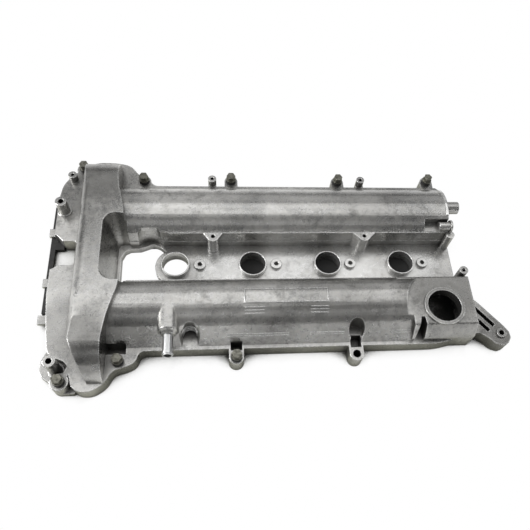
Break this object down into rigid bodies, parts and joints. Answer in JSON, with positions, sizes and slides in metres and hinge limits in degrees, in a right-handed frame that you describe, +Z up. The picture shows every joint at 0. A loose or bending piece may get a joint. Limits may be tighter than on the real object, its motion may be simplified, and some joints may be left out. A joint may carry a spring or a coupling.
{
  "type": "engine valve cover",
  "caption": "Cast aluminium valve cover of a four-cylinder engine with two cam towers, plug wells, filler neck and bolts.",
  "frame": {"origin": "axis of plug well 1, nearest the timing chain, in the plane of the sealing face", "axes": "+X along the cover from the chain end to the flywheel end, +Y to the back cam tower, +Z up from the sealing face"},
  "size_m": [0.5649, 0.3178, 0.0616],
  "materials": {
    "cast_aluminium": "bare die casting, stained",
    "zinc_bolts": "dull zinc plate",
    "bright_tube": "bright zinc plate",
    "rubber": "matt black",
    "pressed_plate": "oily sheet steel"
  },
  "bodies": {
    "root": {"cover_casting": "cast_aluminium", "perimeter_gasket": "rubber", "plug_well_seal_1": "rubber", "plug_well_seal_2": "rubber", "plug_well_seal_3": "rubber", "plug_well_seal_4": "rubber", "cover_bolt_1": "zinc_bolts", "cover_bolt_2": "zinc_bolts", "cover_bolt_3": "zinc_bolts", "cover_bolt_4": "zinc_bolts", "cover_bolt_5": "zinc_bolts", "cover_bolt_6": "zinc_bolts", "cover_bolt_7": "zinc_bolts", "cover_bolt_8": "zinc_bolts", "bolt_grommet_1": "rubber", "bolt_grommet_2": "rubber", "bolt_grommet_3": "rubber", "bolt_grommet_4": "rubber", "bolt_grommet_5": "rubber", "bolt_grommet_6": "rubber", "bolt_grommet_7": "rubber", "bolt_grommet_8": "rubber", "hose_nipple": "bright_tube", "back_baffle": "pressed_plate", "front_baffle": "pressed_plate", "back_baffle_screw_1": "zinc_bolts", "back_baffle_screw_2": "zinc_bolts", "back_baffle_screw_3": "zinc_bolts", "back_baffle_screw_4": "zinc_bolts", "front_baffle_screw_1": "zinc_bolts", "front_baffle_screw_2": "zinc_bolts", "front_baffle_screw_3": "zinc_bolts", "front_baffle_screw_4": "zinc_bolts"}
  },
  "joints": []
}
